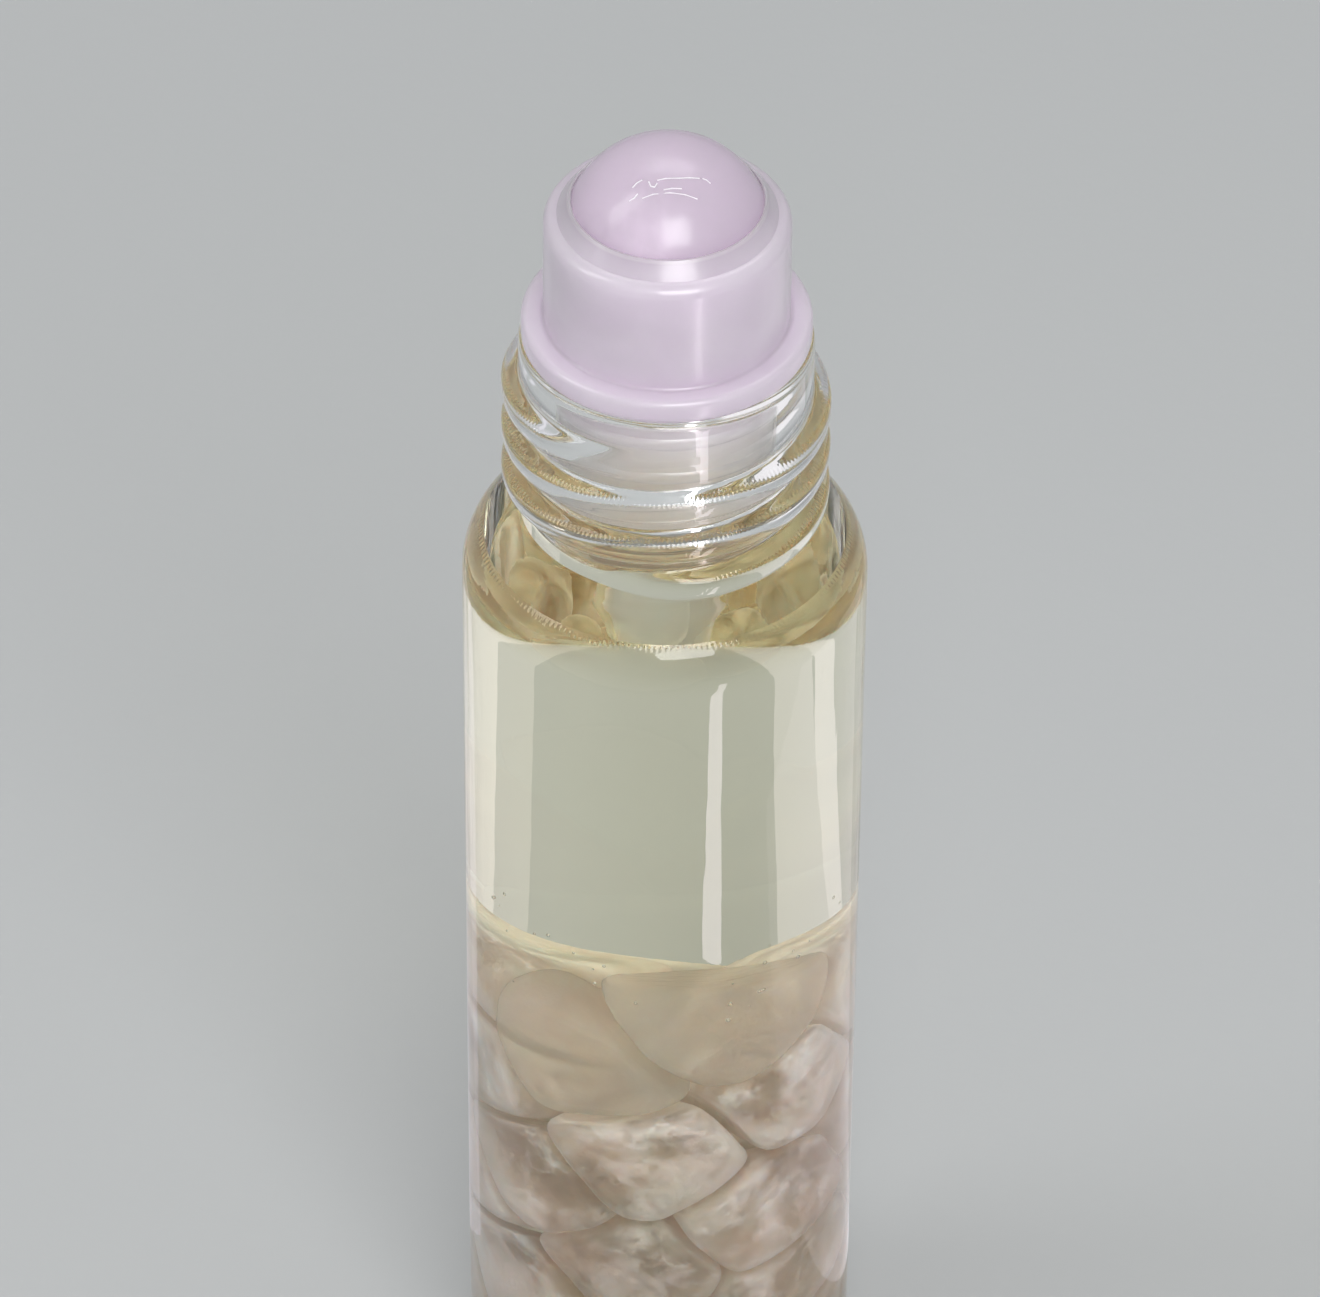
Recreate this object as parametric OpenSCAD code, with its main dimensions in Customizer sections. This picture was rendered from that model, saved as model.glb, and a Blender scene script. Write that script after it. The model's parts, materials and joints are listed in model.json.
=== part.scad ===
// Roll-on bottle: a clear glass vial with a screw neck, a roller fitment pushed into the neck,
// a rolling ball, a pale oil and a heap of tumbled stones. Millimetres, +Z up.
// The origin is the centre of the underside of the base.

/* [Glass vial] */
// Outside diameter of the vial
body_d = 19.8; // [18:0.1:26]
// Height of the glass from the base to the lip
glass_h = 71.5; // [66:0.5:90]
// Thickness of the side wall
wall_t = 1.4; // [1:0.1:1.8]
// Thickness of the glass from the standing ring to the inside floor
floor_t = 2.8; // [2:0.1:4]
// Rounding of the lower outside edge
heel_r = 1.6; // [0.8:0.1:2.2]
// Rounding between the inside floor and the wall
floor_r = 2.4; // [1.5:0.1:3.5]
// Radius of the flat underside left for the push-up
punt_r = 6.2; // [4:0.1:7]
// Height of the push-up in the underside
punt_h = 0.9; // [0.4:0.1:1.2]
// Rounding of the shoulder
shoulder_r = 3.5; // [2.8:0.1:4]

/* [Screw neck] */
// Height of the neck from the top of the shoulder to the lip
neck_h = 11.1; // [10.5:0.1:13]
// Outside diameter of the neck under the thread
neck_d = 14.2; // [13.6:0.1:14.8]
// Diameter of the bore that takes the fitment
bore_d = 10.7; // [10.2:0.1:10.9]
// Rounding between the shoulder and the neck
root_r = 1.3; // [0.6:0.1:1.6]
// Rounding of the lip
lip_r = 0.4; // [0.2:0.1:0.6]
// Height of the thread over the neck
thread_h = 0.85; // [0.6:0.05:1.1]
// Rise of the thread in one turn
thread_pitch = 2.5; // [2.2:0.1:2.8]
// Width of the thread at its foot
thread_w = 1.9; // [1.4:0.1:2.1]
// Height of the first end of the thread over the top of the shoulder
thread_rise = 1.05; // [0.9:0.05:1.3]
// Depth of the last end of the thread under the lip
thread_drop = 2.3; // [1.6:0.1:3.2]

/* [Roller fitment] */
// Diameter of the flange that sits on the lip
flange_d = 13.94; // [13.2:0.02:14.6]
// Thickness of the flange
flange_t = 1.33; // [1:0.01:1.6]
// Wall of the barrel around the ball
barrel_t = 0.85; // [0.7:0.05:1.2]
// Height of the barrel's brow over the centre of the ball
brow_h = 1.35; // [1:0.05:1.6]
// Rounding of the brow
brow_r = 0.65; // [0.3:0.05:0.8]
// Height of the rim that keeps the ball in, over the centre of the ball
rim_h = 2.15; // [1.9:0.05:2.5]
// Width of the flat on top of the rim
rim_t = 0.1; // [0.05:0.05:0.2]
// Length of the plug under the flange
plug_h = 8.2; // [7:0.1:9]
// Wall of the hollow plug
plug_t = 0.95; // [0.7:0.05:1.2]
// Roundness of a sealing bead
bead_r = 0.5; // [0.3:0.05:0.6]
// Number of sealing beads
bead_n = 3; // [2:1:4]
// Height of a sealing bead over the plug
bead_h = 0.14; // [0.08:0.02:0.2]
// Thickness under the ball
cup_t = 0.9; // [0.7:0.05:1.2]
// Diameter of the hole that feeds the ball
feed_d = 3; // [2:0.1:3.6]
// Number of feed grooves in the cup
groove_n = 4; // [3:1:6]
// Width of a feed groove
groove_w = 0.8; // [0.5:0.1:1.2]
// Length of a feed groove from the middle of the cup
groove_l = 3; // [2.2:0.1:3.4]
// Depth of a feed groove under the lowest point of the ball
groove_t = 0.3; // [0.2:0.05:0.4]
// Gap between the beads and the bore
plug_gap = 0.04; // [0.02:0.01:0.08]

/* [Ball] */
// Diameter of the ball
ball_d = 10; // [9.6:0.05:10.1]
// Gap between the ball and its cup
ball_gap = 0.05; // [0.03:0.01:0.1]

/* [Contents] */
// Height of the oil over the top of the shoulder
oil_rise = 0.6; // [0:0.1:1.2]
// Number of stones
stone_n = 26; // [8:1:40]
// Radius that rounds off each stone
stone_r = 5.8; // [4.4:0.1:7]
// Distance from the wall to the middles of the stones
stone_inset = 3.9; // [3.4:0.1:5]
// Height of the lowest stone's middle over the floor
stone_base = 3.2; // [2.5:0.1:4]
// Height from the lowest stone's middle to the highest one's
stone_rise = 25.6; // [16:0.2:34]
// Height of the heap's level top over the highest stone's middle
heap_top = 2.4; // [1.8:0.1:4]
// How much higher the heap's top lies at the front wall than on the axis
heap_lean = 2.8; // [0:0.2:3.4]
// Gap between one stone and the next
stone_gap = 0.3; // [0.1:0.05:0.5]
// Gap between the stones and the glass
side_gap = 0.15; // [0.05:0.05:0.3]
// Direction of the lowest stone around the axis, in degrees
stone_turn = 100; // [0:5:355]
// Number that picks one heap out of many
stone_seed = 5; // [1:1:99]

/* [Hidden] */
$fn = 96;
// Overrun of a cut past the face that it opens
over = 1;
body_r = body_d / 2;
neck_r = neck_d / 2;
bore_r = bore_d / 2;
inner_r = body_r - wall_t;
crown_z = glass_h - neck_h;
shoulder_z = crown_z - shoulder_r;
shoulder_x = body_r - shoulder_r;
inner_shoulder_r = shoulder_r - wall_t;
inner_crown_z = crown_z - wall_t;
// Rounding where the bore opens into the body
throat_r = wall_t / 2;
// The push-up is a cap of this sphere
punt_ball_r = (punt_r * punt_r + punt_h * punt_h) / (2 * punt_h);
// Middle of the rounding between the shoulder and the neck
root_x = neck_r + root_r;
root_z = shoulder_z + sqrt(pow(shoulder_r + root_r, 2) - pow(root_x - shoulder_x, 2));

// Thread: steps in one turn, turns over which an end runs out, and how deep its foot is sunk
thread_steps = 40;
runout_turns = 0.16;
thread_turns = (neck_h - thread_rise - thread_drop) / thread_pitch;
thread_sink = thread_h / 4;
// Direction of the first end around the axis, in degrees
thread_turn = -125;
// The section's corners go from foot to foot, at these shares of its half width and its height
section_share = [[-1, 0], [-0.74, 0.42], [-0.4, 0.84], [0, 1], [0.4, 0.84], [0.74, 0.42], [1, 0]];

seat_z = glass_h;
flange_r = flange_d / 2;
ball_r = ball_d / 2;
cup_r = ball_r + ball_gap;
barrel_r = cup_r + barrel_t;
ball_z = seat_z + cup_t + cup_r;
brow_z = ball_z + brow_h;
rim_z = ball_z + rim_h;
// Radius of the cup's mouth, where the rim closes over the ball
mouth_r = sqrt(cup_r * cup_r - rim_h * rim_h);
bead_out_r = bore_r - plug_gap;
plug_r = bead_out_r - bead_h;
plug_in_r = plug_r - plug_t;
plug_z = seat_z - plug_h;
// Rounding of the flange's edges, slope at the plug's end, and width of the rim's flat top
flange_round = flange_t / 4;
plug_slope = plug_t / 2;
oil_z = crown_z + oil_rise;

// The stones climb by the golden angle, so no two lie straight over each other
golden_turn = 180 * (3 - sqrt(5));
stone_z0 = floor_t + stone_base;
stone_ring = inner_r - stone_inset;
// How far a stone strays in direction, in distance from the axis and in height
stray_turn = 16;
stray_share = [0.12, 0.35];
luck = rands(-1, 1, 3 * stone_n, stone_seed);
climb = stone_rise / max(1, stone_n - 1);
stone_at = [for (i = [0 : stone_n - 1])
    let (turn = stone_turn + i * golden_turn + stray_turn * luck[3 * i])
    let (ring = stone_ring * (1 + stray_share[0] * luck[3 * i + 1]))
    let (lean = -heap_lean * ring / inner_r * sin(turn) * i / max(1, stone_n - 1))
    [ring * cos(turn), ring * sin(turn), stone_z0 + climb * (i + stray_share[1] * luck[3 * i + 2]) + lean]];
// The heap ends level, facing this way and at this height on the axis
heap_up = [0, heap_lean, inner_r] / norm([heap_lean, inner_r]);
heap_z = stone_z0 + stone_rise + heap_top;
// Two stones this far apart can't touch
near_d = 2 * stone_r + stone_gap;
// Extra flats on a stone, and their least and greatest distance as shares of its radius
flat_n = 5;
flat_shares = [0.66, 0.86];

function two_digits(i) = str(i < 10 ? "0" : "", i);
STONES = [for (i = [1 : stone_n]) str("stone_", two_digits(i))];

// Outline of the whole vial as if it were solid, without the thread
module vial_outline() {
    difference() {
        union() {
            translate([0, heel_r]) square([body_r, shoulder_z - heel_r]);
            square([body_r - heel_r, heel_r]);
            translate([body_r - heel_r, heel_r]) circle(r = heel_r);
            square([shoulder_x, crown_z]);
            translate([shoulder_x, shoulder_z]) circle(r = shoulder_r);
            square([neck_r, glass_h - lip_r]);
            square([neck_r - lip_r, glass_h]);
            translate([neck_r - lip_r, glass_h - lip_r]) circle(r = lip_r);
            root_fillet();
        }
        translate([0, punt_h - punt_ball_r]) circle(r = punt_ball_r);
    }
}

// Hollow rounding between the shoulder and the neck
module root_fillet() {
    difference() {
        polygon([[shoulder_x, shoulder_z], [root_x, root_z], [shoulder_x, root_z]]);
        translate([root_x, root_z]) circle(r = root_r);
    }
}

// Outline of the room inside the vial, drawn in by a gap where something has to lie free in it
module room_outline(gap) {
    low = floor_t + gap;
    reach = inner_r - gap;
    bend = floor_r - gap;
    translate([0, low + bend]) square([reach, shoulder_z - low - bend]);
    translate([0, low]) square([reach - bend, bend]);
    translate([reach - bend, low + bend]) circle(r = bend);
    translate([0, shoulder_z]) square([shoulder_x, inner_shoulder_r - gap]);
    translate([shoulder_x, shoulder_z]) circle(r = inner_shoulder_r - gap);
}

// Outline of the bore, with the rounding where it opens into the body and the rounded lip
module bore_outline() {
    translate([0, inner_crown_z]) square([bore_r, neck_h + wall_t + over]);
    difference() {
        translate([0, inner_crown_z - throat_r]) square([bore_r + throat_r, 2 * throat_r]);
        translate([bore_r + throat_r, inner_crown_z + throat_r]) circle(r = throat_r);
    }
}

// Outline of the glass, cut open by the room and the bore
module glass_outline() {
    difference() {
        vial_outline();
        room_outline(0);
        bore_outline();
    }
}

// Height of the crest at a turn from the first end
function crest_z(turn) = crown_z + thread_rise + thread_pitch * turn;

// How much of the thread's full height stands at a turn: it runs out smoothly at both ends
function crest_share(turn) =
    let (end = min(turn, thread_turns - turn) / runout_turns)
    end >= 1 ? 1 : (1 - cos(180 * max(0, end))) / 2;

// Section of the thread at a turn, turned to its place: a foot inside the neck and a round crest
function thread_section(turn) =
    let (direction = thread_turn + 360 * turn)
    let (grown = crest_share(turn))
    let (edge = [for (share = section_share)
        [neck_r - thread_sink + (thread_h + thread_sink) * share[1] * grown,
         crest_z(turn) + thread_w / 2 * share[0]]])
    let (foot = [for (side = [1, -1]) [neck_r - 2 * thread_sink, crest_z(turn) + thread_w / 2 * side]])
    [for (p = concat(edge, foot)) [p[0] * cos(direction), p[0] * sin(direction), p[1]]];

// Helical thread as one closed sweep of that section
module thread() {
    steps = round(thread_turns * thread_steps);
    rings = [for (i = [0 : steps]) thread_section(thread_turns * i / steps)];
    n = len(rings[0]);
    points = [for (ring = rings) each ring];
    sides = [for (i = [0 : steps - 1], k = [0 : n - 1])
        let (a = i * n + k)
        let (b = i * n + (k + 1) % n)
        each [[a, b, a + n], [b, b + n, a + n]]];
    ends = [[for (k = [n - 1 : -1 : 0]) k], [for (k = [0 : n - 1]) steps * n + k]];
    polyhedron(points, concat(sides, ends));
}

// Clear glass vial with its screw neck
module glass_vial() {
    color([0.86, 0.93, 0.92, 0.35]) union() {
        rotate_extrude() glass_outline();
        thread();
    }
}

// Block that reaches from far behind a point to a distance along a direction
module keep_side(direction, distance) {
    reach = body_d;
    rotate([0, acos(direction[2] / norm(direction)), atan2(direction[1], direction[0])])
        translate([-reach, -reach, -reach]) cube([2 * reach, 2 * reach, reach + distance]);
}

// One tumbled stone: its share of the room, rounded off by a ball and chipped by a few flats
module stone(i) {
    p = stone_at[i];
    near = [for (q = stone_at) if (q != p && norm(q - p) < near_d) q];
    chance = rands(-1, 1, 4 * flat_n, stone_seed + i);
    intersection() {
        rotate_extrude() room_outline(side_gap);
        translate(p) intersection() {
            sphere(r = stone_r);
            keep_side(heap_up, heap_up * ([0, 0, heap_z] - p));
            intersection_for (q = near) keep_side(q - p, (norm(q - p) - stone_gap) / 2);
            intersection_for (k = [0 : flat_n - 1])
                let (share = (1 + chance[4 * k]) / 2)
                keep_side([for (axis = [1 : 3]) chance[4 * k + axis]],
                    stone_r * (flat_shares[0] * (1 - share) + flat_shares[1] * share));
        }
    }
}

// Pale oil that fills the room up to the throat, around every stone
module oil_fill() {
    color([0.86, 0.82, 0.5, 0.4]) difference() {
        rotate_extrude() intersection() {
            union() {
                room_outline(0);
                bore_outline();
            }
            square([body_r, oil_z]);
        }
        for (i = [0 : stone_n - 1]) stone(i);
    }
}

// Outline of the fitment as if it were solid: flange, barrel, brow with its rim, and beaded plug
module fitment_outline() {
    translate([0, seat_z + flange_round]) square([flange_r, flange_t - 2 * flange_round]);
    translate([0, seat_z]) square([flange_r - flange_round, flange_t]);
    for (z = [flange_round, flange_t - flange_round])
        translate([flange_r - flange_round, seat_z + z]) circle(r = flange_round);
    translate([0, seat_z]) square([barrel_r, brow_z - brow_r - seat_z]);
    translate([0, seat_z]) square([barrel_r - brow_r, brow_z - seat_z]);
    translate([barrel_r - brow_r, brow_z - brow_r]) circle(r = brow_r);
    polygon([[0, ball_z], [barrel_r - brow_r, ball_z], [barrel_r - brow_r, brow_z],
        [mouth_r + rim_t, rim_z], [0, rim_z]]);
    polygon([[0, plug_z], [plug_r - plug_slope, plug_z], [plug_r, plug_z + plug_slope], [plug_r, seat_z],
        [0, seat_z]]);
    for (k = [1 : bead_n])
        translate([bead_out_r - bead_r, plug_z + k * plug_h / (bead_n + 1)]) circle(r = bead_r);
}

// Milky fitment pushed into the neck, with the cup that holds the ball and the hole that feeds it
module roller_fitment() {
    color([0.88, 0.84, 0.9]) difference() {
        rotate_extrude() difference() {
            fitment_outline();
            translate([0, ball_z]) circle(r = cup_r);
            translate([0, plug_z - over]) square([plug_in_r, plug_h + over]);
            square([feed_d / 2, ball_z]);
        }
        for (k = [0 : groove_n - 1])
            rotate([0, 0, 360 * k / groove_n])
                translate([0, -groove_w / 2, ball_z - cup_r - groove_t])
                    cube([groove_l, groove_w, cup_r]);
    }
}

// Ball that rolls in the cup
module roller_ball() {
    color([0.9, 0.88, 0.94]) translate([0, 0, ball_z]) sphere(r = ball_r);
}

glass_vial();
oil_fill();
roller_fitment();
roller_ball();
for (i = [0 : stone_n - 1])
    color([0.78, 0.71, 0.66]) stone(i);
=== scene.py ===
# %% [markdown]
# # Roll-on bottle
# A slim clear glass vial with a screw neck, a milky roller fitment pushed into the neck, a ball that rolls
# in it, pale oil, and a heap of tumbled quartz in the oil. Here each piece gets the surface, the small forms
# and the finish that make it look real, in the same frame and in metres.

# %% Frame
import json
import math

import bmesh
import bpy
from mathutils import Matrix, Vector

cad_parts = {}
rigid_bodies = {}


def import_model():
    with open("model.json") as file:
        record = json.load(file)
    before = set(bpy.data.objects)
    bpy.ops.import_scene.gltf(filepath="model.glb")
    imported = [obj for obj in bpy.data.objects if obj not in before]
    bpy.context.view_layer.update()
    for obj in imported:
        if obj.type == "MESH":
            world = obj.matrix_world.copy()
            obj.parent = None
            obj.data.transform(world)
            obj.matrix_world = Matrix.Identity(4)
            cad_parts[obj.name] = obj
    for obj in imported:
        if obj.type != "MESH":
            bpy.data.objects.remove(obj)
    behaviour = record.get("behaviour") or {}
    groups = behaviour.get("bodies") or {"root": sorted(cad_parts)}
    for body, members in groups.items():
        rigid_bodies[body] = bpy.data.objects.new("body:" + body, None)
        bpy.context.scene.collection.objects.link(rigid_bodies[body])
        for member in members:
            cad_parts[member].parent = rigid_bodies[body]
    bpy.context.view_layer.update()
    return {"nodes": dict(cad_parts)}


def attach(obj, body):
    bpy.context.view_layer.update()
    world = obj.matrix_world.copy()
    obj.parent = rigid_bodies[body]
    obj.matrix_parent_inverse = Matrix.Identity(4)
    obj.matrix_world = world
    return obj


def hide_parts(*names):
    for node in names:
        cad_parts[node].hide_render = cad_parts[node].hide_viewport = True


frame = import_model()

# %% [markdown]
# The sizes are those of the CAD part, in millimetres, so that what is modelled here lies exactly on its
# solid. `MM` turns them into metres at the moment a mesh is made.

# %% Sizes
MM = 0.001
BODY_R, WALL, FLOOR_T = 9.9, 1.4, 2.8
GLASS_H, NECK_H, SHOULDER_R = 71.5, 11.1, 3.5
HEEL_R, FLOOR_R, PUNT_R, PUNT_H = 1.6, 2.4, 6.2, 0.9
NECK_R, BORE_R, ROOT_R, LIP_R, THROAT_R = 7.1, 5.35, 1.3, 0.4, 0.7
THREAD_H, THREAD_W, PITCH, THREAD_RISE, TURNS = 0.85, 1.9, 2.5, 1.05, 3.1
THREAD_TURN, RUNOUT = -125.0, 0.16
INNER_R = BODY_R - WALL
CROWN_Z = GLASS_H - NECK_H
SHOULDER_Z, SHOULDER_X = CROWN_Z - SHOULDER_R, BODY_R - SHOULDER_R
OIL_Z = CROWN_Z + 0.6
BALL_R, BALL_Z, CUP_R = 5.0, 77.45, 5.05
print("The neck is", NECK_H, "mm high and the oil stands", OIL_Z, "mm over the base")

# %% [markdown]
# Glass, plastic and oil are all turned round one axis, so one helper, `lathe`, does for the three: it spins
# an outline, a list of (radius, height) points, into a closed skin. A point on the axis becomes one vertex,
# not a ring of vertices in the same place, so the poles are closed. `arc` lays points along a rounding,
# `run` along a line.


# %% Lathe
def arc(x, z, radius, start, end, steps=10):
    turns = [math.radians(start + (end - start) * i / steps) for i in range(steps + 1)]
    return [(x + radius * math.cos(t), z + radius * math.sin(t)) for t in turns]


def run(a, b, steps):
    return [(a[0] + (b[0] - a[0]) * i / steps, a[1] + (b[1] - a[1]) * i / steps) for i in range(1, steps)]


def piece_from(bm, name):
    mesh = bpy.data.meshes.new(name)
    bm.to_mesh(mesh)
    bm.free()
    piece = bpy.data.objects.new(name, mesh)
    bpy.context.scene.collection.objects.link(piece)
    return piece


def lathe(name, outline, sides, closed=False):
    bm = bmesh.new()
    rings = []
    for r, z in outline:
        if r < 1e-6:
            rings.append([bm.verts.new((0, 0, z * MM))] * sides)
            continue
        turns = [2 * math.pi * k / sides for k in range(sides)]
        rings.append([bm.verts.new((r * math.cos(t) * MM, r * math.sin(t) * MM, z * MM)) for t in turns])
    pairs = list(zip(rings, rings[1:])) + ([(rings[-1], rings[0])] if closed else [])
    for a, b in pairs:
        for k in range(sides):
            corners = [a[k], a[(k + 1) % sides], b[(k + 1) % sides], b[k]]
            bm.faces.new([v for i, v in enumerate(corners) if v not in corners[:i]])
    bmesh.ops.recalc_face_normals(bm, faces=bm.faces)
    piece = piece_from(bm, name)
    piece.data.shade_smooth()
    print(name, "has", len(piece.data.polygons), "faces")
    return piece


# %% [markdown]
# Every finish is a small net of nodes. These helpers feed a socket with a number or with another node, so
# that a finish reads as a few lines of plain words. `grain` is noise on the piece's own Object coordinates,
# which are metres here, so a scale of 1000 gives spots about a millimetre wide. `spread` moves a value from
# one range to another, `blend` mixes two colours, `relief` turns a height into small dents, and
# `mixed_surface` mixes two whole shaders. Some nodes have several outputs, so the capitals say which one is
# used: the place on the piece, whether a ray is a shadow ray, how far a face is turned away, and a stored
# number.

# %% Node helpers
OBJECT_SPOT, SHADOW_RAY, FACING, AS_NUMBER = 3, 1, 1, 2


def feed(tree, socket, value):
    if isinstance(value, bpy.types.NodeSocket):
        tree.links.new(value, socket)
    else:
        socket.default_value = value


def calc(tree, operation, *values):
    node = tree.nodes.new("ShaderNodeMath")
    node.operation = operation
    for socket, value in zip(node.inputs, values):
        feed(tree, socket, value)
    return node.outputs[0]


def add(tree, kind, out=0, set_=None, **inputs):
    node = tree.nodes.new(kind)
    for key, value in (set_ or {}).items():
        setattr(node, key, value)
    for key, value in inputs.items():
        feed(tree, node.inputs[key.replace("_", " ")], value)
    return node.outputs[out]


def finish(name, color=(1, 1, 1), **settings):
    material = bpy.data.materials.new(name)
    material.use_nodes = True
    tree = material.node_tree
    skin = tree.nodes["Principled BSDF"]
    skin.inputs["Base Color"].default_value = (*color, 1)
    for key, value in settings.items():
        skin.inputs[key.replace("_", " ")].default_value = value
    return material, tree, skin


def place(tree, stretch=(1, 1, 1)):
    spot = add(tree, "ShaderNodeTexCoord", OBJECT_SPOT)
    return add(tree, "ShaderNodeMapping", Vector=spot, Scale=stretch)


def grain(tree, scale, detail=3.0, rough=0.5, stretch=(1, 1, 1), bend=0.0):
    settings = {"Scale": scale, "Detail": detail, "Roughness": rough, "Distortion": bend}
    return add(tree, "ShaderNodeTexNoise", Vector=place(tree, stretch), **settings)


def spread(tree, value, low, high, to_low, to_high):
    limits = {"From Min": low, "From Max": high, "To Min": to_low, "To Max": to_high}
    return add(tree, "ShaderNodeMapRange", Value=value, **limits)


def ramp(tree, value, *stops):
    node = tree.nodes.new("ShaderNodeValToRGB")
    feed(tree, node.inputs[0], value)
    row = node.color_ramp.elements
    for _ in stops[2:]:
        row.new(0.5)
    for element, (at, color) in zip(row, stops):
        element.position = at
        element.color = (*color, 1)
    return node.outputs[0]


def blend(tree, share, one, other):
    node = tree.nodes.new("ShaderNodeMix")
    node.data_type = "RGBA"
    for number, value in ((0, share), (6, one), (7, other)):
        feed(tree, node.inputs[number], value)
    return node.outputs[2]


def scaled(tree, vector, factor):
    node = tree.nodes.new("ShaderNodeVectorMath")
    node.operation = "SCALE"
    feed(tree, node.inputs[0], vector)
    feed(tree, node.inputs["Scale"], factor)
    return node.outputs[0]


def axes_of(tree, vector):
    node = tree.nodes.new("ShaderNodeSeparateXYZ")
    feed(tree, node.inputs[0], vector)
    return node.outputs


def mixed_surface(tree, share, one, other):
    node = tree.nodes.new("ShaderNodeMixShader")
    for socket, value in zip(node.inputs, (share, one, other)):
        feed(tree, socket, value)
    feed(tree, tree.nodes["Material Output"].inputs["Surface"], node.outputs[0])


def relief(tree, height, depth, strength=1.0):
    return add(tree, "ShaderNodeBump", Height=height, Distance=depth * MM, Strength=strength)


# %% [markdown]
# ## The glass
# A vial like this is made from drawn tube: the wall is clear with a faint green, very smooth, and the neck
# and its thread are pressed while the glass is soft, so they are a little wavy. Light crosses the wall
# twice on each side, and where oil wets the inside the glass all but disappears, because oil bends light
# nearly as much as glass does. That is why the glass gets two finishes: dry glass against air, and wet
# glass against oil, whose IOR is the ratio of the two. Both let lamps through in shadow rays, or the stones
# behind would stay dark. The forming wheel leaves rows of fine upright marks on the flanks of the thread
# and round the shoulder, which glitter like beads. They are far too fine to model, so they are relief, kept
# to where the wheel touched by the distance from the crest and from the axis.


# %% Glass finishes
GLASS_IOR, OIL_IOR, QUARTZ_IOR = 1.5, 1.47, 1.544
MARKS_ROUND, MARKED_FLANK, FLANK_FEATHER = 210.0, 0.62, (0.05, 0.2)
MARKED_RINGS, RING_FEATHER = (8.46, 8.98), (0.03, 0.12)
RIPPLE_GRAIN, DRAW_GRAIN, SMEAR_GRAIN = 260, 1400, 180
DRAW_SHARE, MARK_LIFT, LAMP_FACE_ON, LAMP_EDGE_ON = 0.25, 0.6, 0.9, 0.4


def lets_lamps_through(tree, skin, face_on, edge_on):
    shadow = add(tree, "ShaderNodeLightPath", SHADOW_RAY)
    facing = add(tree, "ShaderNodeLayerWeight", FACING, Blend=0.5)
    clear = add(tree, "ShaderNodeBsdfTransparent", Color=ramp(tree, facing, (0.35, face_on), (0.95, edge_on)))
    mixed_surface(tree, shadow, skin.outputs[0], clear)


def wheel_marks(tree):
    """Fine upright marks of the forming wheel, on the thread's flanks and in two rings on the shoulder."""
    x, y, z = axes_of(tree, add(tree, "ShaderNodeTexCoord", OBJECT_SPOT))
    wave = calc(tree, "COSINE", calc(tree, "MULTIPLY", calc(tree, "ARCTAN2", y, x), MARKS_ROUND))
    off_crest = add(tree, "ShaderNodeAttribute", AS_NUMBER, {"attribute_name": "off_crest"})
    off_crest = calc(tree, "ABSOLUTE", off_crest)
    from_flank = calc(tree, "ABSOLUTE", calc(tree, "SUBTRACT", off_crest, MARKED_FLANK))
    where = spread(tree, from_flank, *FLANK_FEATHER, 1.0, 0.0)
    reach = calc(tree, "SQRT", calc(tree, "ADD", calc(tree, "MULTIPLY", x, x), calc(tree, "MULTIPLY", y, y)))
    on_shoulder = calc(tree, "GREATER_THAN", z, SHOULDER_Z * MM)
    feather = [width * MM for width in RING_FEATHER]
    for ring in MARKED_RINGS:
        from_ring = calc(tree, "ABSOLUTE", calc(tree, "SUBTRACT", reach, ring * MM))
        near = calc(tree, "MULTIPLY", on_shoulder, spread(tree, from_ring, *feather, 1.0, 0.0))
        where = calc(tree, "MAXIMUM", where, near)
    return calc(tree, "MULTIPLY", where, calc(tree, "ADD", MARK_LIFT, wave))


def clear_glass(name, ior, tint, wave, marks=0.0):
    material, tree, skin = finish(name, tint, IOR=ior, Transmission_Weight=1.0, Roughness=0.0)
    ripple = grain(tree, RIPPLE_GRAIN, 2.0, stretch=(1, 1, 0.25))
    drawn = grain(tree, DRAW_GRAIN, 2.0, stretch=(1, 1, 0.12))
    height = calc(tree, "ADD", ripple, calc(tree, "MULTIPLY", drawn, DRAW_SHARE))
    if marks:
        height = calc(tree, "ADD", height, calc(tree, "MULTIPLY", wheel_marks(tree), marks))
    feed(tree, skin.inputs["Normal"], relief(tree, height, wave))
    smear = grain(tree, SMEAR_GRAIN, 4.0, 0.6, bend=0.6)
    feed(tree, skin.inputs["Roughness"], spread(tree, smear, 0.5, 0.8, 0.0, 0.05))
    face_on, edge_on = [tuple(share * v for v in tint) for share in (LAMP_FACE_ON, LAMP_EDGE_ON)]
    lets_lamps_through(tree, skin, face_on, edge_on)
    return material


dry_glass = clear_glass("glass_dry", GLASS_IOR, (0.975, 0.99, 0.98), 0.02, marks=0.22)
wet_glass = clear_glass("glass_oiled", GLASS_IOR / OIL_IOR, (0.99, 0.995, 0.99), 0.01)
print("Wet glass bends light only", round(GLASS_IOR / OIL_IOR, 3), "times as much as oil")

# %% [markdown]
# The outline runs from the push-up in the base round the outside, over the lip and down inside to the
# floor. Rows lie close together on the neck, because there the thread has to rise out of them.

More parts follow.
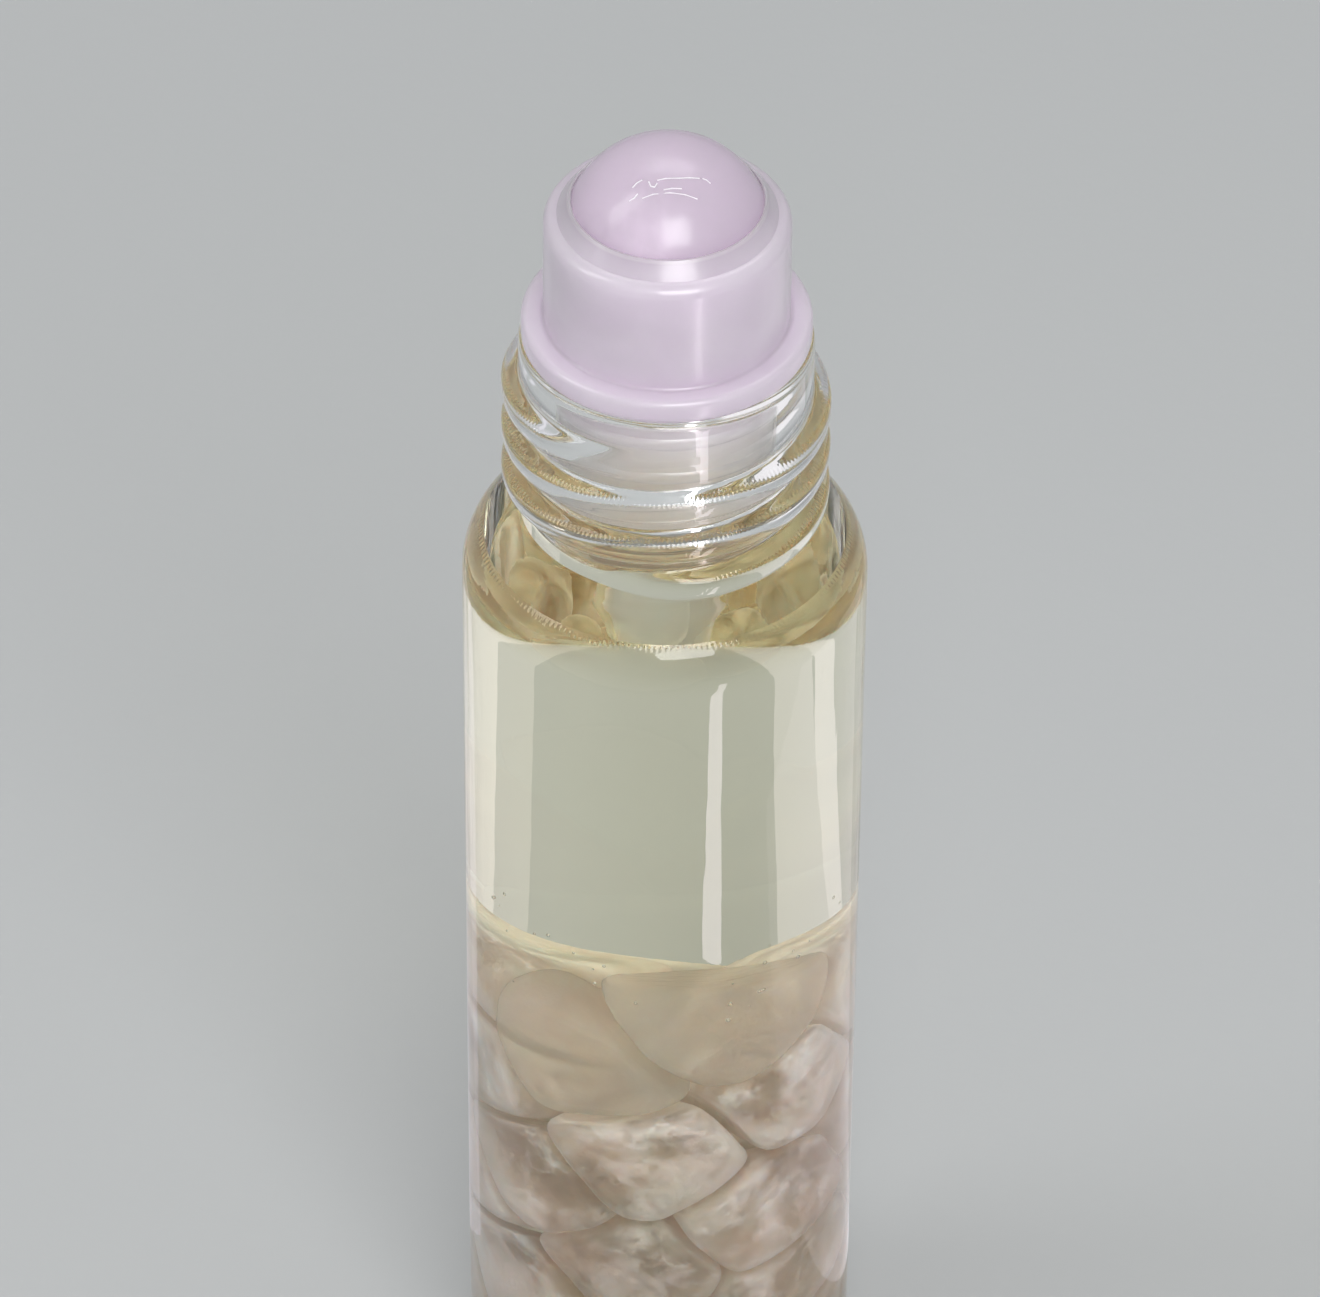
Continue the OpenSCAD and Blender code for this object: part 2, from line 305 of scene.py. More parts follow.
# %% Glass outline
MOUTH_ARC, FLOOR_MID, GLASS_SIDES = 0.2, 3.0, 280
ROOT_X = NECK_R + ROOT_R
ROOT_Z = SHOULDER_Z + math.sqrt((SHOULDER_R + ROOT_R) ** 2 - (ROOT_X - SHOULDER_X) ** 2)
root_turn = math.degrees(math.atan2(ROOT_Z - SHOULDER_Z, ROOT_X - SHOULDER_X))
punt_ball = (PUNT_R**2 + PUNT_H**2) / (2 * PUNT_H)
punt_steps = [PUNT_R * i / 10 for i in range(11)]
inner_shoulder = SHOULDER_R - WALL
inner_crown = CROWN_Z - WALL
glass_outline = (
    [(r, PUNT_H - punt_ball + math.sqrt(punt_ball**2 - r**2)) for r in punt_steps]
    + arc(BODY_R - HEEL_R, HEEL_R, HEEL_R, -90, 0)
    + run((BODY_R, HEEL_R), (BODY_R, SHOULDER_Z), 12)
    + arc(SHOULDER_X, SHOULDER_Z, SHOULDER_R, 0, root_turn, 24)
    + arc(ROOT_X, ROOT_Z, ROOT_R, root_turn + 180, 180, 10)[1:]
    + run((NECK_R, ROOT_Z), (NECK_R, GLASS_H - LIP_R), 100)
    + arc(NECK_R - LIP_R, GLASS_H - LIP_R, LIP_R, 0, 90, 8)
    + arc(BORE_R + MOUTH_ARC, GLASS_H - MOUTH_ARC, MOUTH_ARC, 90, 180, 5)
    + run((BORE_R, GLASS_H - MOUTH_ARC), (BORE_R, inner_crown + THROAT_R), 16)
    + arc(BORE_R + THROAT_R, inner_crown + THROAT_R, THROAT_R, 180, 270, 8)
    + arc(SHOULDER_X, SHOULDER_Z, inner_shoulder, 90, 0, 16)
    + run((INNER_R, SHOULDER_Z), (INNER_R, FLOOR_T + FLOOR_R), 12)
    + arc(INNER_R - FLOOR_R, FLOOR_T + FLOOR_R, FLOOR_R, 0, -90, 12)
    + [(FLOOR_MID, FLOOR_T), (0, FLOOR_T)]
)
glass = lathe("vial_glass", glass_outline, GLASS_SIDES)

# %% [markdown]
# ## Forms that follow a rule
# The thread, the bubbles, the wear of the stones and the painted glints on the ball are made by Geometry
# Nodes, in trees that the script builds. `new_tree` names what a tree is given, `end_tree` makes its result
# real mesh with a finish on it, and `grow` runs the tree on a piece and keeps the outcome as an ordinary
# mesh.


# %% Tree helpers
def new_tree(name, sizes, materials=(), objects=()):
    tree = bpy.data.node_groups.new(name, "GeometryNodeTree")
    face = tree.interface
    face.new_socket("Geometry", in_out="INPUT", socket_type="NodeSocketGeometry")
    for kind, labels in (("Float", sizes), ("Material", materials), ("Object", objects)):
        for label in labels:
            face.new_socket(label, in_out="INPUT", socket_type="NodeSocket" + kind)
    face.new_socket("Geometry", in_out="OUTPUT", socket_type="NodeSocketGeometry")
    given = tree.nodes.new("NodeGroupInput").outputs
    return tree, given


def end_tree(tree, geometry, material, spots=()):
    realized = add(tree, "GeometryNodeRealizeInstances", Geometry=geometry)
    for selection, other in [(True, material), *spots]:
        choice = {"Selection": selection, "Material": other}
        realized = add(tree, "GeometryNodeSetMaterial", Geometry=realized, **choice)
    feed(tree, tree.nodes.new("NodeGroupOutput").inputs[0], realized)


def grow(piece, tree, **values):
    modifier = piece.modifiers.new(tree.name, "NODES")
    modifier.node_group = tree
    for item in tree.interface.items_tree:
        key = item.name.replace(" ", "_").lower()
        if item.in_out == "INPUT" and key in values:
            modifier[item.identifier] = values[key]
    bpy.context.view_layer.update()
    seen = bpy.context.evaluated_depsgraph_get()
    mesh = bpy.data.meshes.new_from_object(piece.evaluated_get(seen), depsgraph=seen)
    piece.modifiers.remove(modifier)
    old, piece.data = piece.data, mesh
    bpy.data.meshes.remove(old)
    mesh.name = piece.name
    mesh.shade_smooth()
    print(piece.name, "now has", len(mesh.polygons), "faces and", [m.name for m in mesh.materials])


# %% [markdown]
# ## The thread
# A screw thread follows a rule: at every turn it has climbed by one pitch. So it isn't drawn but worked out
# by Geometry Nodes. For each point of the neck the nodes find how many turns up the helix it lies, how far
# it is from the crest there, and push it outward by a rounded hump that fades at both ends, as a pressed
# glass thread does. The tree also stores the distance from the crest on each point, for the wheel's marks,
# and gives the faces that touch oil the wet finish.

# %% Thread tree
CREST_SQUARE, FOOT_BLEND, FAR_OFF, BASE_SKIN = 2.8, 0.3, 9.0, 1.5
helix = ["First crest", "Pitch", "Height", "Width", "Turns", "Direction", "Run out"]
borders = ["Inside", "Outside", "Oil level"]
tree, given = new_tree("screw_thread", helix + borders, ["Dry glass", "Wet glass"])
spot = add(tree, "GeometryNodeInputPosition")
x, y, z = axes_of(tree, spot)
radius = calc(tree, "SQRT", calc(tree, "ADD", calc(tree, "MULTIPLY", x, x), calc(tree, "MULTIPLY", y, y)))
from_start = calc(tree, "SUBTRACT", calc(tree, "ARCTAN2", y, x), given["Direction"])
round_once = calc(tree, "DIVIDE", from_start, 2 * math.pi)
part_turn = calc(tree, "FRACT", round_once)
climbed = calc(tree, "DIVIDE", calc(tree, "SUBTRACT", z, given["First crest"]), given["Pitch"])
whole = calc(tree, "ROUND", calc(tree, "SUBTRACT", climbed, part_turn))
turn = calc(tree, "ADD", whole, part_turn)
to_end = calc(tree, "MINIMUM", turn, calc(tree, "SUBTRACT", given["Turns"], turn))
grown = calc(tree, "MINIMUM", 1.0, calc(tree, "MAXIMUM", 0.0, calc(tree, "DIVIDE", to_end, given["Run out"])))
swell = calc(tree, "COSINE", calc(tree, "MULTIPLY", grown, math.pi))
grown = calc(tree, "SUBTRACT", 0.5, calc(tree, "MULTIPLY", 0.5, swell))
off_crest = calc(tree, "MULTIPLY", calc(tree, "SUBTRACT", climbed, turn), given["Pitch"])
off_crest = calc(tree, "DIVIDE", off_crest, calc(tree, "MULTIPLY", given["Width"], 0.5))
fall = calc(tree, "POWER", calc(tree, "ABSOLUTE", off_crest), CREST_SQUARE)
hump = calc(tree, "SMOOTH_MAX", calc(tree, "SUBTRACT", 1.0, fall), 0.0, FOOT_BLEND)
on_neck = calc(tree, "GREATER_THAN", radius, given["Outside"])
height = calc(tree, "MULTIPLY", given["Height"], on_neck)
rise = calc(tree, "MULTIPLY", calc(tree, "MULTIPLY", hump, grown), height)
sideways, forward = calc(tree, "DIVIDE", x, radius), calc(tree, "DIVIDE", y, radius)
outward = add(tree, "ShaderNodeCombineXYZ", X=sideways, Y=forward)
no_thread = calc(tree, "SUBTRACT", 1.0, calc(tree, "MULTIPLY", grown, on_neck))
marked = add(
    tree,
    "GeometryNodeStoreNamedAttribute",
    Geometry=given["Geometry"],
    Name="off_crest",
    Value=calc(tree, "ADD", off_crest, calc(tree, "MULTIPLY", no_thread, FAR_OFF)),
)
threaded = add(tree, "GeometryNodeSetPosition", Geometry=marked, Offset=scaled(tree, outward, rise))
inside = calc(tree, "LESS_THAN", radius, given["Inside"])
below = calc(tree, "LESS_THAN", z, given["Oil level"])
above_floor = calc(tree, "GREATER_THAN", z, BASE_SKIN * MM)
wet = calc(tree, "MULTIPLY", calc(tree, "MULTIPLY", inside, below), above_floor)
end_tree(tree, threaded, given["Dry glass"], [(wet, given["Wet glass"])])
print("The thread tree has", len(tree.nodes), "nodes")

# %% Glass with its thread
MARGIN = 0.3
grow(
    glass,
    tree,
    first_crest=(CROWN_Z + THREAD_RISE) * MM,
    pitch=PITCH * MM,
    height=THREAD_H * MM,
    width=THREAD_W * MM,
    turns=TURNS,
    direction=math.radians(THREAD_TURN),
    run_out=RUNOUT,
    inside=(INNER_R + MARGIN) * MM,
    outside=(NECK_R - MARGIN) * MM,
    oil_level=(OIL_Z + MARGIN) * MM,
    dry_glass=dry_glass,
    wet_glass=wet_glass,
)
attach(glass, "vial")
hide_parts("glass_vial")

# %% [markdown]
# ## The oil
# Carrier oil is a pale straw yellow that only shows where there is a lot of it, so its colour belongs
# inside it, as absorption, and not on its skin. Its side lies against the glass, where nothing may bend or
# shine twice: there the skin is fully see-through. Only the free surface in the neck bends light, with the
# small upturned rim, the meniscus, that every liquid has against glass.

# %% Oil
GAP, OIL_SIDES = 0.02, 160
MENISCUS_H, MENISCUS_W, MENISCUS_STEPS = 0.4, 0.6, (BORE_R - GAP, 5.1, 4.9, 4.6, 4.2, 3.6, 2.5)
meniscus = [(r, OIL_Z + MENISCUS_H * math.exp((r - BORE_R) / MENISCUS_W)) for r in MENISCUS_STEPS]
oil_outline = (
    [(0, FLOOR_T + GAP), (FLOOR_MID, FLOOR_T + GAP)]
    + arc(INNER_R - FLOOR_R, FLOOR_T + FLOOR_R, FLOOR_R - GAP, -90, 0, 12)
    + arc(SHOULDER_X, SHOULDER_Z, inner_shoulder - GAP, 0, 90, 16)
    + arc(BORE_R + THROAT_R, inner_crown + THROAT_R, THROAT_R + GAP, 270, 180, 8)
    + meniscus
    + [(0, OIL_Z)]
)
oil = lathe("oil", oil_outline, OIL_SIDES)
STRAW_COLOR, STRAW_DENSITY = (0.9, 0.82, 0.3, 1), 22.0
pale_oil, tree, skin = finish("straw_oil", IOR=OIL_IOR, Transmission_Weight=1.0, Roughness=0.0)
height = axes_of(tree, place(tree))[2]
open_top = calc(tree, "GREATER_THAN", height, (OIL_Z - GAP) * MM)
shadow = add(tree, "ShaderNodeLightPath", SHADOW_RAY)
seen_top = calc(tree, "MULTIPLY", open_top, calc(tree, "SUBTRACT", 1.0, shadow))
mixed_surface(tree, seen_top, add(tree, "ShaderNodeBsdfTransparent"), skin.outputs[0])
straw = add(tree, "ShaderNodeVolumeAbsorption", Color=STRAW_COLOR, Density=STRAW_DENSITY)
feed(tree, tree.nodes["Material Output"].inputs["Volume"], straw)
oil.data.materials.append(pale_oil)
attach(oil, "vial")
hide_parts("oil_fill")

# %% [markdown]
# ## Bubbles
# When the vial is filled, a few tiny bubbles stay behind and cling to the glass round the top of the heap.
# They only need to be strewn, so Geometry Nodes put a small ball at random places on a band of the inner
# wall, from fixed seeds. The band is kept to the front, because through the oil a bubble at the back is
# drawn out into a hair. Air bends light less than oil, so the IOR of a bubble is under one.

# %% Bubble tree
BUBBLES, SIZE_SEED, TURN_SEED, HEIGHT_SEED = 26, 3, 7, 11
ranges = ["Wall", "Lowest", "Highest", "Smallest", "Largest", "First turn", "Last turn"]
tree, given = new_tree("clinging_bubbles", ranges, ["Air"])
points = add(tree, "GeometryNodePoints", Count=BUBBLES)


def random_value(tree, low, high, seed):
    node = tree.nodes.new("FunctionNodeRandomValue")
    for socket, value in zip((node.inputs[2], node.inputs[3], node.inputs["Seed"]), (low, high, seed)):
        feed(tree, socket, value)
    return node.outputs[1]


size = random_value(tree, given["Smallest"], given["Largest"], SIZE_SEED)
turn = random_value(tree, given["First turn"], given["Last turn"], TURN_SEED)
height = random_value(tree, given["Lowest"], given["Highest"], HEIGHT_SEED)
reach = calc(tree, "SUBTRACT", given["Wall"], size)
place_on_wall = add(
    tree,
    "ShaderNodeCombineXYZ",
    X=calc(tree, "MULTIPLY", reach, calc(tree, "COSINE", turn)),
    Y=calc(tree, "MULTIPLY", reach, calc(tree, "SINE", turn)),
    Z=height,
)
points = add(tree, "GeometryNodeSetPosition", Geometry=points, Position=place_on_wall)
scale = add(tree, "ShaderNodeCombineXYZ", X=size, Y=size, Z=size)
strewn = add(tree, "GeometryNodeInstanceOnPoints", Points=points, Instance=given["Geometry"], Scale=scale)
end_tree(tree, strewn, given["Air"])
print("The bubble tree has", len(tree.nodes), "nodes")


# %% Bubbles
def fine_ball(name, splits):
    bm = bmesh.new()
    bmesh.ops.create_icosphere(bm, subdivisions=splits, radius=1.0)
    return piece_from(bm, name)


BUBBLE_GAP, BUBBLE_HEIGHTS, BUBBLE_SIZES, BUBBLE_SIDE = 0.04, (33.5, 40.0), (0.04, 0.11), (198.0, 342.0)
bubbles = fine_ball("bubbles", 3)
air, skin_tree, skin = finish("trapped_air", IOR=1 / OIL_IOR, Transmission_Weight=1.0, Roughness=0.0)
lets_lamps_through(skin_tree, skin, (0.9, 0.9, 0.9), (0.3, 0.3, 0.3))
bubbles.data.materials.append(air)
grow(
    bubbles,
    tree,
    wall=(INNER_R - BUBBLE_GAP) * MM,
    lowest=BUBBLE_HEIGHTS[0] * MM,
    highest=BUBBLE_HEIGHTS[1] * MM,
    smallest=BUBBLE_SIZES[0] * MM,
    largest=BUBBLE_SIZES[1] * MM,
    first_turn=math.radians(BUBBLE_SIDE[0]),
    last_turn=math.radians(BUBBLE_SIDE[1]),
    air=air,
)
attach(bubbles, "vial")

# %% [markdown]
# ## The stones
# The heap is tumbled quartz: cloudy, beige to pink with some grey-green, worn round but still showing the
# flats it broke along. The CAD stones already have their places and flats, and no two touch. Geometry Nodes
# shrink a fine ball onto each of them by rays from its middle, blur the distance so that every edge wears
# round, and then take away a little more with noise, always inward, so a stone never grows out of its
# place.


# %% Stone tree
RAY, WEAR, PIT_DETAIL = 20.0, 14, 4.0
wear_sizes = ["Radius", "Pit depth", "Pit scale", "Seed", "Clarity"]
tree, given = new_tree("tumbled_stone", wear_sizes, ["Quartz"], ["Cut stone"])
info = tree.nodes.new("GeometryNodeObjectInfo")
info.transform_space = "ORIGINAL"
feed(tree, info.inputs["Object"], given["Cut stone"])
cut = info.outputs["Geometry"]
limits = tree.nodes.new("GeometryNodeBoundBox")
feed(tree, limits.inputs[0], cut)


def vector_calc(tree, operation, *values):
    node = tree.nodes.new("ShaderNodeVectorMath")
    node.operation = operation
    for socket, value in zip(node.inputs, values):
        feed(tree, socket, value)
    return node.outputs[0]


corner_sum = vector_calc(tree, "ADD", limits.outputs["Min"], limits.outputs["Max"])
middle = vector_calc(tree, "MULTIPLY", corner_sum, (0.5, 0.5, 0.5))
way = vector_calc(tree, "NORMALIZE", add(tree, "GeometryNodeInputPosition"))
ray = tree.nodes.new("GeometryNodeRaycast")
feed(tree, ray.inputs["Target Geometry"], cut)
feed(tree, ray.inputs["Source Position"], middle)
feed(tree, ray.inputs["Ray Direction"], way)
feed(tree, ray.inputs["Ray Length"], RAY * MM)
reach = calc(tree, "MINIMUM", ray.outputs["Hit Distance"], given["Radius"])
worn = tree.nodes.new("GeometryNodeBlurAttribute")
feed(tree, worn.inputs["Value"], reach)
worn.inputs["Iterations"].default_value = WEAR
soft = calc(tree, "MINIMUM", worn.outputs[0], reach)
pits = tree.nodes.new("ShaderNodeTexNoise")
pits.noise_dimensions = "4D"
feed(tree, pits.inputs["Vector"], way)
feed(tree, pits.inputs["W"], given["Seed"])
feed(tree, pits.inputs["Scale"], given["Pit scale"])
pits.inputs["Detail"].default_value = PIT_DETAIL
bite = calc(tree, "MULTIPLY", given["Pit depth"], calc(tree, "MINIMUM", 1.0, pits.outputs[0]))
from_middle = scaled(tree, way, calc(tree, "SUBTRACT", soft, bite))
skin_spot = vector_calc(tree, "ADD", middle, from_middle)
shape = add(tree, "GeometryNodeSetPosition", Geometry=given["Geometry"], Position=skin_spot)
shape = add(tree, "GeometryNodeStoreNamedAttribute", Geometry=shape, Name="clarity", Value=given["Clarity"])
end_tree(tree, shape, given["Quartz"])
stone_tree = tree
print("The stone tree has", len(tree.nodes), "nodes")

# %% [markdown]
# Quartz is never one colour. A wide noise moves it between beige, pink and grey-green, veils of tiny cracks
# make it milky in places and clearer in others, and a few brown specks of iron sit in it. In oil its
# surface hardly shines, because quartz bends light only a little more than oil, so its IOR is again the
# ratio of the two. The stones that lie on top in front are nearly clear. Each stone carries that as a
# number on its own mesh, `clarity`, so all of them share one finish.

# %% Quartz
TINT_GRAIN, SPECK_GRAIN, CLOUD_GRAIN, CRACK_GRAIN, SKIN_GRAIN = 120, 520, 210, 330, 1600
IRON_BROWN, CLEAR_QUARTZ = (0.42, 0.29, 0.17, 1), (0.97, 0.96, 0.93, 1)
quartz, tree, skin = finish(
    "tumbled_quartz", IOR=QUARTZ_IOR / OIL_IOR, Subsurface_Weight=0.8, Subsurface_Scale=0.002
)
skin.inputs["Subsurface Radius"].default_value = (1.0, 0.8, 0.65)
tint = ramp(
    tree,
    grain(tree, TINT_GRAIN, 5.0, 0.6, bend=0.35),
    (0.33, (0.58, 0.6, 0.55)),
    (0.43, (0.81, 0.76, 0.69)),
    (0.55, (0.87, 0.77, 0.73)),
    (0.68, (0.96, 0.93, 0.92)),
)
speck = spread(tree, grain(tree, SPECK_GRAIN, 2.0), 0.77, 0.83, 0.0, 0.8)
clarity = add(tree, "ShaderNodeAttribute", AS_NUMBER, {"attribute_name": "clarity"})
spotted = blend(tree, speck, tint, IRON_BROWN)
feed(tree, skin.inputs["Base Color"], blend(tree, clarity, spotted, CLEAR_QUARTZ))
cloud = grain(tree, CLOUD_GRAIN, 5.0, 0.65, bend=0.4)
crack = grain(tree, CRACK_GRAIN, 3.0, 0.5, bend=0.4)
crack = calc(tree, "ABSOLUTE", calc(tree, "SUBTRACT", crack, 0.5))
crack = spread(tree, crack, 0.0, 0.018, 0.22, 0.0)
edge = add(tree, "ShaderNodeLayerWeight", FACING, Blend=0.45)
milk = calc(tree, "ADD", spread(tree, cloud, 0.42, 0.6, 0.05, 0.65), crack)
milk = calc(tree, "ADD", milk, spread(tree, edge, 0.4, 1.0, 0.0, 0.5))
see_through = calc(tree, "MAXIMUM", spread(tree, milk, 0.0, 1.0, 0.95, 0.1), clarity)
feed(tree, skin.inputs["Transmission Weight"], see_through)
feed(tree, skin.inputs["Roughness"], spread(tree, cloud, 0.3, 0.7, 0.29, 0.42))
feed(tree, skin.inputs["Normal"], relief(tree, grain(tree, SKIN_GRAIN, 5.0, 0.6), 0.06))
lets_lamps_through(tree, skin, (0.55, 0.5, 0.45), (0.25, 0.22, 0.2))
print("Quartz bends light", round(QUARTZ_IOR / OIL_IOR, 3), "times as much as oil")

# %% Stones
STONE_SPLITS, STONE_REACH, PIT_DEPTH, PIT_SCALE = 6, 5.2, 0.25, 2.2
TOP_Z, TOP_CLARITY = 28.5, 0.92
stones = sorted(name for name in frame["nodes"] if name.startswith("stone_"))
for number, name in enumerate(stones):
    stone = fine_ball(name.replace("stone", "quartz"), STONE_SPLITS)
    corners = [vertex.co for vertex in frame["nodes"][name].data.vertices]
    middle = sum(corners, Vector()) / len(corners)
    on_top = middle.z > TOP_Z * MM and middle.y < 0
    print(name, [round(v * 1000, 1) for v in middle], "is clear" if on_top else "is cloudy")
    grow(
        stone,
        stone_tree,
        radius=STONE_REACH * MM,
        pit_depth=PIT_DEPTH * MM,
        pit_scale=PIT_SCALE,
        seed=float(number),
        clarity=TOP_CLARITY * on_top,
        quartz=quartz,
        cut_stone=frame["nodes"][name],
    )
    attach(stone, "vial")
    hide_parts(name)

# %% [markdown]
# ## The roller fitment
# The fitment is moulded in one go from soft milky plastic: a hollow plug with three sealing beads, a flange
# that sits on the lip, and a barrel whose rim snaps over the ball. It is thin, so light soaks into it and
# comes out again nearby: that glow is subsurface scattering, and a share of rough transmission lets the cup
# show through.

# %% Fitment outline
SEAT_Z, FLANGE_R, FLANGE_T, BARREL_R = GLASS_H, 6.97, 1.33, 5.9
BROW_Z, BROW_R, RIM_Z, MOUTH_R, RIM_T = 78.8, 0.65, 79.6, 4.57, 0.1
PLUG_R, PLUG_IN_R, PLUG_Z, BEAD_R, BEAD_X = 5.17, 4.22, 63.3, 0.5, 4.81
FEED_R, GROOVE_W, GROOVE_L, GROOVE_T = 1.5, 0.8, 3.0, 0.3
BEAD_STEP, BEAD_TURN, PLUG_SLOPE, PLUG_ARC = 2.05, 44, 0.475, 0.3
SLIVER, FEED_BEVEL, FOOT_ARC, FITMENT_SIDES = 0.1, 0.15, 0.2, 256
RIM_SLOPE, RIM_DROP, RIM_LEAD, HAIR, CUP_FOOT = 0.05, 0.06, 0.04, 0.01, 0.4
edge = FLANGE_T / 4
beads = []
for k in (1, 2, 3):
    beads += arc(BEAD_X, PLUG_Z + k * BEAD_STEP, BEAD_R, -BEAD_TURN, BEAD_TURN, 8)
cup_top, cup_end = math.degrees(math.asin((RIM_Z - BALL_Z) / CUP_R)), -math.degrees(math.acos(FEED_R / CUP_R))
cup = arc(0, BALL_Z, CUP_R, cup_top, cup_end, 110)
fitment_outline = (
    [(FEED_R, SEAT_Z + FEED_BEVEL), (FEED_R + FEED_BEVEL, SEAT_Z)]
    + arc(PLUG_IN_R - PLUG_ARC, SEAT_Z - PLUG_ARC, PLUG_ARC, 90, 0, 4)
    + run((PLUG_IN_R, SEAT_Z - PLUG_ARC), (PLUG_IN_R, PLUG_Z + SLIVER), 8)
    + [(PLUG_IN_R, PLUG_Z + SLIVER), (PLUG_IN_R + SLIVER, PLUG_Z)]
    + [(PLUG_R - PLUG_SLOPE, PLUG_Z), (PLUG_R, PLUG_Z + PLUG_SLOPE)]
    + beads
    + [(PLUG_R, SEAT_Z - SLIVER), (PLUG_R + SLIVER, SEAT_Z)]
    + arc(FLANGE_R - edge, SEAT_Z + edge, edge, -90, 0, 8)
    + arc(FLANGE_R - edge, SEAT_Z + FLANGE_T - edge, edge, 0, 90, 8)
    + arc(BARREL_R + FOOT_ARC, SEAT_Z + FLANGE_T + FOOT_ARC, FOOT_ARC, 270, 180, 6)
    + run((BARREL_R, SEAT_Z + FLANGE_T + FOOT_ARC), (BARREL_R, BROW_Z - BROW_R), 10)
    + arc(BARREL_R - BROW_R, BROW_Z - BROW_R, BROW_R, 0, 90, 10)
    + [(MOUTH_R + RIM_T + RIM_SLOPE, RIM_Z - RIM_DROP), (MOUTH_R + RIM_T, RIM_Z)]
    + [(MOUTH_R + RIM_LEAD, RIM_Z)]
    + cup
)
fitment = lathe("roller_fitment_skin", fitment_outline, FITMENT_SIDES, closed=True)
for vertex in fitment.data.vertices:
    x, y, z = (v / MM for v in vertex.co)
    reach = math.hypot(x, y)
    in_cup = FEED_R - HAIR < reach < GROOVE_L and SEAT_Z + CUP_FOOT < z < BALL_Z
    if in_cup and min(abs(x), abs(y)) < GROOVE_W / 2:
        vertex.co.z = (BALL_Z - CUP_R - GROOVE_T) * MM

# %% [markdown]
# The milky plastic has a faint lilac cast. It isn't quite even: the melt leaves soft flow marks in its
# colour, and handling leaves soft bands round the barrel, so the roughness carries those. The topmost sliver
# of the rim round the ball is painted paler, as a painted highlight along the lip's edge. Where the plastic
# is thin, more light gets through it, so the plug, thin-walled and wet with oil, is clearer and less lilac
# the deeper it reaches into the neck. Both are blended in by height.

# %% Milky plastic
LIP_HIGHLIGHT_DEPTHS, PAINTED_LIP_HIGHLIGHT = (0.16, 0.08), (0.99, 0.96, 0.98, 1)
PLUG_DEPTHS, PLUG_COLOR, PLUG_SHARE = (4.5, 0.6), (0.87, 0.83, 0.76, 1), 0.85
PLUG_CLEAR, BARREL_CLEAR = 0.78, 0.38
FLOW_GRAIN, SCRATCH_GRAIN, PEEL_GRAIN = 220, 260, 500
milky, tree, skin = finish(
    "moulded_milky",
    IOR=1.5,
    Subsurface_Weight=1.0,
    Subsurface_Scale=0.0014,
    Coat_Weight=0.7,
    Coat_Roughness=0.17,
)
skin.inputs["Subsurface Radius"].default_value = (1.0, 0.95, 1.0)
flow = grain(tree, FLOW_GRAIN, 3.0, bend=0.7)
scratch = grain(tree, SCRATCH_GRAIN, 3.0, 0.6, stretch=(1, 1, 2))
milk = ramp(tree, flow, (0.3, (0.78, 0.71, 0.79)), (0.7, (0.83, 0.77, 0.84)))
up = axes_of(tree, add(tree, "ShaderNodeTexCoord", OBJECT_SPOT))[2]
# Painted highlight: the top of the rim round the ball is blended to a paler colour.
lip_highlight_band = [(RIM_Z - depth) * MM for depth in LIP_HIGHLIGHT_DEPTHS]
plug_band = [(SEAT_Z - depth) * MM for depth in PLUG_DEPTHS]
lip_highlighted = blend(tree, spread(tree, up, *lip_highlight_band, 0.0, 1.0), milk, PAINTED_LIP_HIGHLIGHT)
oily = blend(tree, spread(tree, up, *plug_band, PLUG_SHARE, 0.0), lip_highlighted, PLUG_COLOR)
feed(tree, skin.inputs["Base Color"], oily)
see_through = spread(tree, up, *plug_band, PLUG_CLEAR, BARREL_CLEAR)
feed(tree, skin.inputs["Transmission Weight"], see_through)
feed(tree, skin.inputs["Roughness"], spread(tree, scratch, 0.3, 0.7, 0.3, 0.38))
orange_peel = grain(tree, PEEL_GRAIN, 2.0, stretch=(1, 1, 0.5))
feed(tree, skin.inputs["Normal"], relief(tree, orange_peel, 0.004))
lets_lamps_through(tree, skin, (0.62, 0.55, 0.62), (0.3, 0.26, 0.3))
print("The plug clears from", PLUG_DEPTHS[1], "to", PLUG_DEPTHS[0], "mm under the flange")
fitment.data.materials.append(milky)
fitment.data.set_sharp_from_angle(angle=math.radians(30))
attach(fitment, "fitment")
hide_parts("roller_fitment")

# %% [markdown]
# ## The ball
# The ball is much the same plastic as the fitment, but thick, polished and a little clearer, so light sinks
# deep into it and it seems to glow. It is ground truly round. What gives it away as moulded is a faint
# seam, so the mesh, a subdivided cube blown out to a ball and so free of poles, has a seam a few microns
# high.

# %% Ball
BALL_CUTS, SEAM_H, SEAM_W = 47, 0.006, 0.012
BALL_CLOUD_GRAIN, BALL_SKIN_GRAIN = 300, 900
bm = bmesh.new()
bmesh.ops.create_cube(bm, size=1.0)
bmesh.ops.subdivide_edges(bm, edges=bm.edges, cuts=BALL_CUTS, use_grid_fill=True)
seam_axis = Vector((0.35, -0.2, 1.0)).normalized()
for vertex in bm.verts:
    way = Vector([math.tan(v * math.pi / 2) for v in vertex.co]).normalized()
    seam = math.exp(-((way.dot(seam_axis) / SEAM_W) ** 2))
    vertex.co = Vector((0, 0, BALL_Z * MM)) + way * (BALL_R - SEAM_H + SEAM_H * seam) * MM
ball = piece_from(bm, "rolling_ball")
ball.data.shade_smooth()
moulded, tree, skin = finish(
    "moulded_ball",
    (0.76, 0.69, 0.765),
    IOR=1.49,
    Transmission_Weight=0.5,
    Subsurface_Weight=1.0,
    Subsurface_Scale=0.003,
)
skin.inputs["Subsurface Radius"].default_value = (1.0, 1.0, 1.0)
cloud = grain(tree, BALL_CLOUD_GRAIN, 3.0, bend=0.5)
feed(tree, skin.inputs["Roughness"], spread(tree, cloud, 0.3, 0.7, 0.19, 0.25))
